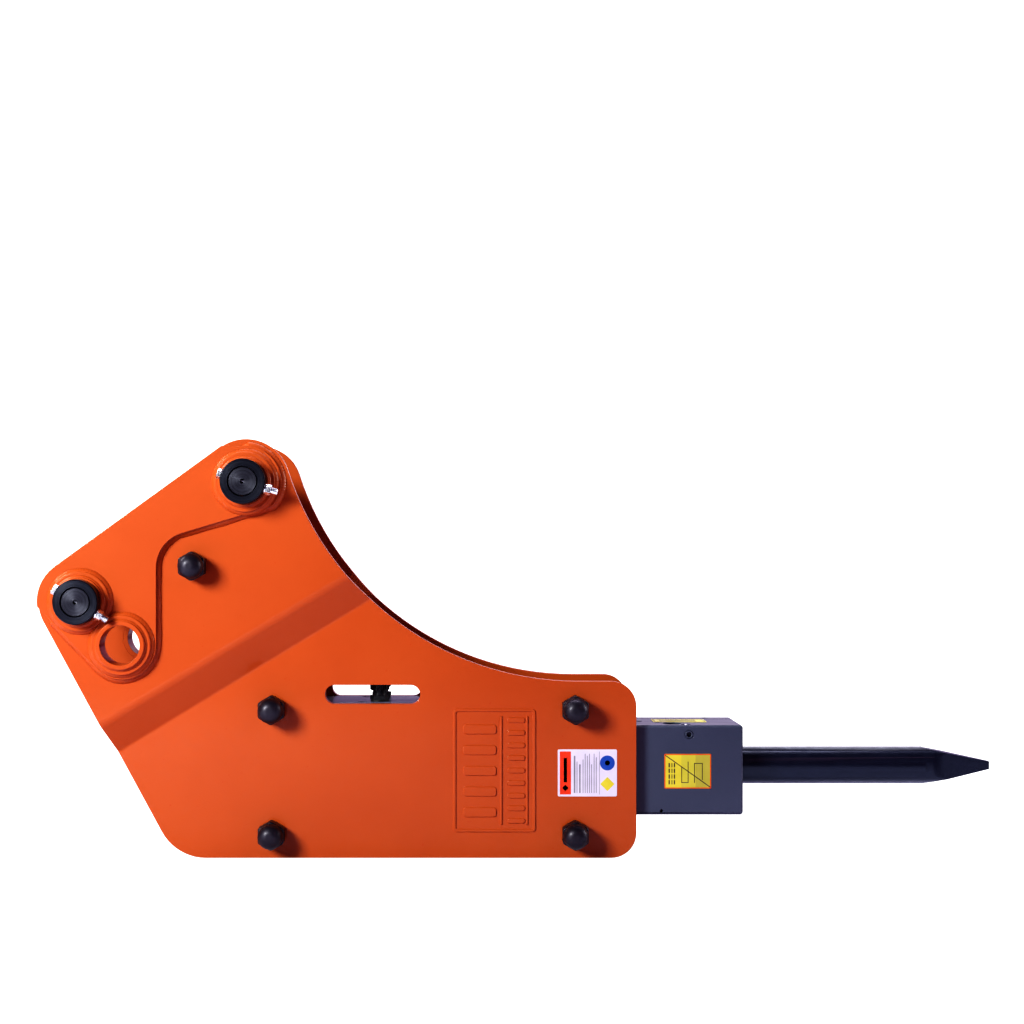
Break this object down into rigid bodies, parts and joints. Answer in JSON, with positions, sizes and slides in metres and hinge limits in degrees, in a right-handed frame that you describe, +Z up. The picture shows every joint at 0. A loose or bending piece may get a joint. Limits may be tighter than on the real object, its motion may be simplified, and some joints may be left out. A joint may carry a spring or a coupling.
{
  "type": "hydraulic breaker hammer",
  "caption": "Side-plate hydraulic breaker for a small excavator: power cell with sliding moil chisel between two joggled plates with pin bosses.",
  "frame": {"origin": "middle of the overall box in X and Y, on the plates' straight lower edges at Z = 0", "axes": "+X along the tool to its tip, +Z up, -Y towards the side plate with the stickers"},
  "size_m": [1.3465, 0.3, 0.585],
  "materials": {
    "orange_paint": "semi-gloss orange enamel over plate and weld",
    "navy_paint": "satin blue-black enamel",
    "chisel_steel": "glossy black paint over forged steel",
    "black_oxide": "blackened turned steel",
    "black_nut": "gloss black coated nuts",
    "zinc": "bright zinc plating",
    "ground_steel": "ground and hardened steel",
    "bronze": "turned bronze",
    "brass_fitting": "turned brass",
    "seal_rubber": "black nitrile rubber",
    "seal_urethane": "blue polyurethane",
    "cap_plastic": "black moulded dust cap",
    "white_vinyl": "white vinyl sticker with plain blocks of colour",
    "yellow_vinyl": "yellow vinyl sticker with a red border"
  },
  "bodies": {
    "body": {"side_plate_near": "orange_paint", "side_plate_far": "orange_paint", "doubler_plate_near": "orange_paint", "doubler_plate_far": "orange_paint", "boss_rings_near": "orange_paint", "boss_rings_far": "orange_paint", "plate_bushes_near": "orange_paint", "plate_bushes_far": "orange_paint", "brace_spacer": "orange_paint", "back_head": "navy_paint", "cylinder": "navy_paint", "front_head": "navy_paint", "socket_plug": "navy_paint", "side_studs": "black_oxide", "brace_stud": "black_oxide", "stud_washers_near": "black_oxide", "stud_washers_far": "black_oxide", "tie_rods": "black_oxide", "tie_rod_nuts": "black_oxide", "tie_rod_washers": "black_oxide", "keeper_pin": "black_oxide", "inlet_adapter": "black_oxide", "outlet_adapter": "black_oxide", "oil_plugs": "black_oxide", "cap_nuts_near": "black_nut", "cap_nuts_far": "black_nut", "grease_nipple": "zinc", "seal_carrier": "ground_steel", "valve_sleeve": "ground_steel", "valve_plug": "ground_steel", "thrust_bush": "bronze", "tool_bush": "bronze", "gas_valve": "brass_fitting", "gas_valve_cap": "brass_fitting", "head_joint_seal": "seal_rubber", "adapter_seals": "seal_rubber", "keeper_plug": "seal_rubber", "rear_piston_seals": "seal_urethane", "front_piston_seals": "seal_urethane", "dust_seal": "seal_urethane", "plate_sticker": "white_vinyl", "nose_side_sticker": "yellow_vinyl", "nose_top_sticker": "yellow_vinyl"},
    "tool": {"chisel": "chisel_steel"},
    "striker": {"piston": "ground_steel"},
    "spool": {"valve_spool": "ground_steel"},
    "lower_pin_set": {"lower_pin": "black_oxide", "lower_pin_collars": "black_oxide", "lower_pin_lock_bolts": "zinc", "lower_pin_lock_washers": "zinc", "lower_pin_lock_nuts": "zinc"},
    "upper_pin_set": {"upper_pin": "black_oxide", "upper_pin_collars": "black_oxide", "upper_pin_lock_bolts": "zinc", "upper_pin_lock_washers": "zinc", "upper_pin_lock_nuts": "zinc"},
    "inlet_cap": {"inlet_dust_cap": "cap_plastic"},
    "outlet_cap": {"outlet_dust_cap": "cap_plastic"}
  },
  "joints": [
    {"name": "chisel_slide", "type": "slide", "parent": "body", "child": "tool", "axis": [1, 0, 0], "range_m": [-0.036, 0.006]},
    {"name": "piston_stroke", "type": "slide", "parent": "body", "child": "striker", "axis": [1, 0, 0], "range_m": [-0.055, 0]},
    {"name": "spool_shift", "type": "slide", "parent": "body", "child": "spool", "axis": [1, 0, 0], "range_m": [-0.006, 0.006]},
    {"name": "lower_pin_turn", "type": "hinge", "parent": "body", "child": "lower_pin_set", "pos_m": [-0.6135, 0, 0.36], "axis": [0, 1, 0], "continuous": true},
    {"name": "upper_pin_turn", "type": "hinge", "parent": "body", "child": "upper_pin_set", "pos_m": [-0.3855, 0, 0.525], "axis": [0, 1, 0], "continuous": true},
    {"name": "inlet_cap_lift", "type": "slide", "parent": "body", "child": "inlet_cap", "axis": [0, 0, 1], "range_m": [0, 0.06]},
    {"name": "outlet_cap_lift", "type": "slide", "parent": "body", "child": "outlet_cap", "axis": [0, 0, 1], "range_m": [0, 0.06]}
  ]
}
